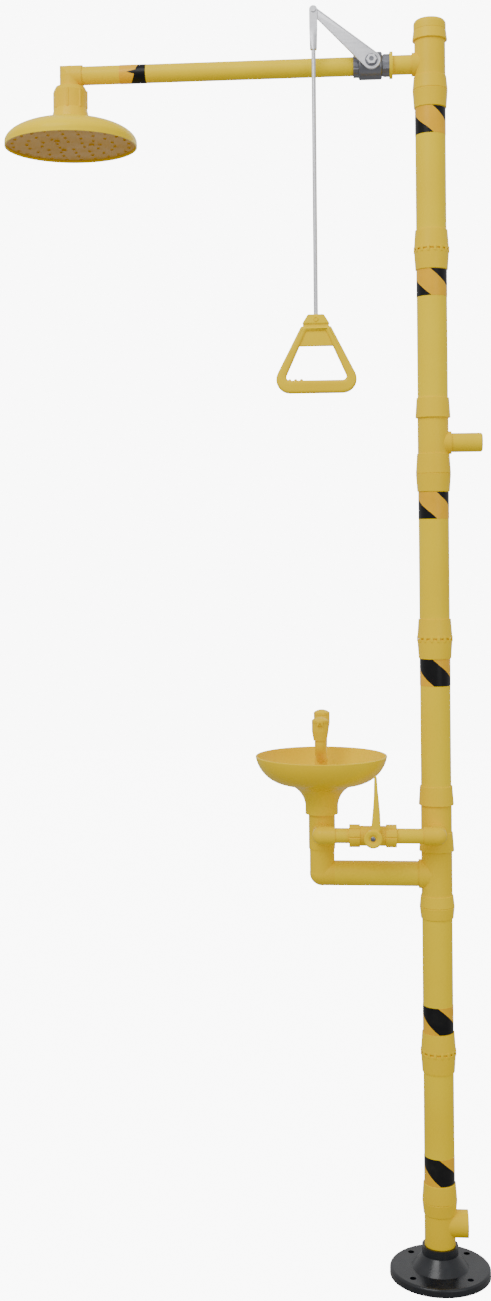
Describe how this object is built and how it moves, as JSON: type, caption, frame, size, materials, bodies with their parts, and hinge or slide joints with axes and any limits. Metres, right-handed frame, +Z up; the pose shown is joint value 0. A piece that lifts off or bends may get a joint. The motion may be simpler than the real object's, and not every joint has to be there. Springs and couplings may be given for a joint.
{
  "type": "emergency shower with eyewash",
  "caption": "Yellow floor-standing emergency shower: pipe column on a round black foot, overhead shower on an arm, pull handle, and an eyewash bowl on the side.",
  "frame": {"origin": "centre of the foot's underside, on the column's axis, at floor level", "axes": "+Z up along the column, -X towards the shower arm and the bowl, -Y towards the user's side with the feed pipe and levers"},
  "size_m": [0.908, 0.254, 2.3875],
  "materials": {
    "yellow_coat": "semi-gloss",
    "yellow_fitting": "semi-gloss",
    "yellow_shell": "glossy",
    "nozzle_plastic": "satin",
    "foot_iron": "satin paint",
    "valve_steel": "brushed",
    "lever_steel": "satin",
    "tape_film": "satin film",
    "seal_rubber": "matte",
    "seat_plastic": "matte"
  },
  "bodies": {
    "stand": {"arm_elbow": "yellow_fitting", "arm_nipple": "yellow_coat", "base_flange": "foot_iron", "bowl": "yellow_shell", "bowl_strainer": "valve_steel", "collar_lower": "yellow_fitting", "collar_middle": "yellow_fitting", "collar_upper": "yellow_fitting", "coupling_lower": "yellow_fitting", "coupling_middle": "yellow_fitting", "coupling_upper": "yellow_fitting", "drain_elbow": "yellow_fitting", "drain_pipe": "yellow_coat", "drain_tee": "yellow_fitting", "eyewash_valve_body": "yellow_fitting", "eyewash_valve_nuts": "yellow_fitting", "feed_elbows": "yellow_fitting", "feed_pipes": "yellow_coat", "feed_riser_tube": "yellow_fitting", "feed_tee": "yellow_fitting", "foot_pipe": "yellow_coat", "hazard_tapes": "tape_film", "head_nut": "yellow_fitting", "head_shell": "yellow_shell", "inlet_nipple": "yellow_coat", "inlet_tee": "yellow_fitting", "joint_seals": "seal_rubber", "lower_pipe": "yellow_coat", "middle_pipe": "yellow_coat", "nozzle_front": "nozzle_plastic", "nozzle_inserts": "seat_plastic", "nozzle_manifold": "yellow_fitting", "nozzle_rear": "nozzle_plastic", "outlet_tee": "yellow_fitting", "riser_tee": "yellow_fitting", "shower_arm": "yellow_coat", "shower_valve_body": "valve_steel", "shower_valve_end": "valve_steel", "spray_plate": "yellow_shell", "spray_plate_screws": "valve_steel", "supply_plug": "yellow_fitting", "top_cap": "yellow_fitting", "top_pipe": "yellow_coat", "top_tee": "yellow_fitting", "upper_pipe": "yellow_coat", "valve_seats": "seat_plastic", "waist_pipe": "yellow_coat"},
    "shower_lever": {"shower_ball": "valve_steel", "shower_stem": "valve_steel", "shower_lever": "lever_steel", "shower_lever_nut": "lever_steel"},
    "pull_rod": {"pull_pin": "lever_steel", "rod_clevis": "lever_steel", "pull_rod": "lever_steel", "pull_handle": "yellow_shell"},
    "eyewash_lever": {"eyewash_ball": "valve_steel", "eyewash_stem": "valve_steel", "eyewash_lever": "yellow_shell"},
    "dust_cap_front": {"dust_cap_front": "nozzle_plastic"},
    "dust_cap_rear": {"dust_cap_rear": "nozzle_plastic"}
  },
  "joints": [
    {"name": "shower_lever_turn", "type": "hinge", "parent": "stand", "child": "shower_lever", "pos_m": [-0.11, 0, 2.283], "axis": [0, -1, 0], "range_deg": [0, 90]},
    {"name": "pull_rod_level", "type": "hinge", "parent": "shower_lever", "child": "pull_rod", "pos_m": [-0.21776, -0.0375, 2.38002], "axis": [0, -1, 0], "range_deg": [-90, 0]},
    {"name": "eyewash_lever_turn", "type": "hinge", "parent": "stand", "child": "eyewash_lever", "pos_m": [-0.12, -0.058, 0.838], "axis": [0, 1, 0], "range_deg": [0, 90]},
    {"name": "dust_cap_front_flip", "type": "hinge", "parent": "stand", "child": "dust_cap_front", "pos_m": [-0.216, -0.0823, 1.0466], "axis": [1, 0, 0], "range_deg": [0, 110]},
    {"name": "dust_cap_rear_flip", "type": "hinge", "parent": "stand", "child": "dust_cap_rear", "pos_m": [-0.216, 0.0823, 1.0466], "axis": [-1, 0, 0], "range_deg": [0, 110]}
  ],
  "couplings": [
    {"joint": "pull_rod_level", "follows": "shower_lever_turn", "ratio": -1}
  ]
}
